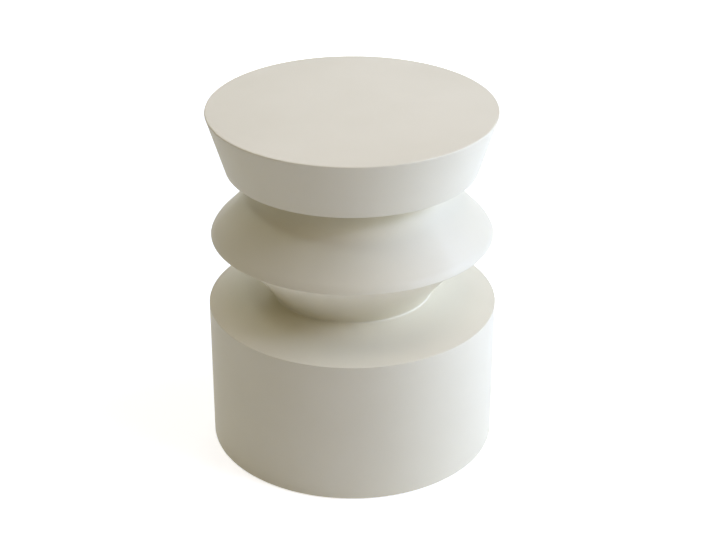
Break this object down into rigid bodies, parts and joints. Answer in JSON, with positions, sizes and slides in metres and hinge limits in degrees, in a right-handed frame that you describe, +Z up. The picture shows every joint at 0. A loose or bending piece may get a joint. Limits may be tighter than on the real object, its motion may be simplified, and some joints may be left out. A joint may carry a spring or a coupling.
{
  "type": "side table",
  "caption": "Round free-standing side table of three turned, satin lacquered forms: a drum base, a spool with a crisp edge, and a top that tapers down to a narrow neck.",
  "frame": {"origin": "on the floor under the table's axis, at the level of the glides' feet", "axes": "+Z up along the axis that all the turned forms share; X and Y are the two horizontal directions"},
  "size_m": [0.372, 0.372, 0.457],
  "materials": {
    "lacquer": "satin off-white lacquer",
    "raw_board": "bare fibreboard",
    "raw_timber": "bare beech",
    "plated_steel": "zinc plated",
    "screw_steel": "yellow passivated zinc",
    "glide_plastic": "moulded nylon"
  },
  "bodies": {
    "root": {"top_board": "lacquer", "top_side_ring": "lacquer", "top_under_board": "lacquer", "spool_upper": "lacquer", "spool_lower": "lacquer", "shoulder_board": "lacquer", "drum_wall": "lacquer", "spool_web": "raw_board", "base_board": "raw_board", "top_spacers": "raw_timber", "drum_posts": "raw_timber", "top_dowels": "raw_timber", "base_dowels": "raw_timber", "rod_anchor": "plated_steel", "tie_rod": "plated_steel", "rod_washer": "plated_steel", "rod_nut": "plated_steel", "anchor_screws": "screw_steel", "base_screws": "screw_steel", "glide_screws": "screw_steel", "glides": "glide_plastic"}
  },
  "joints": []
}
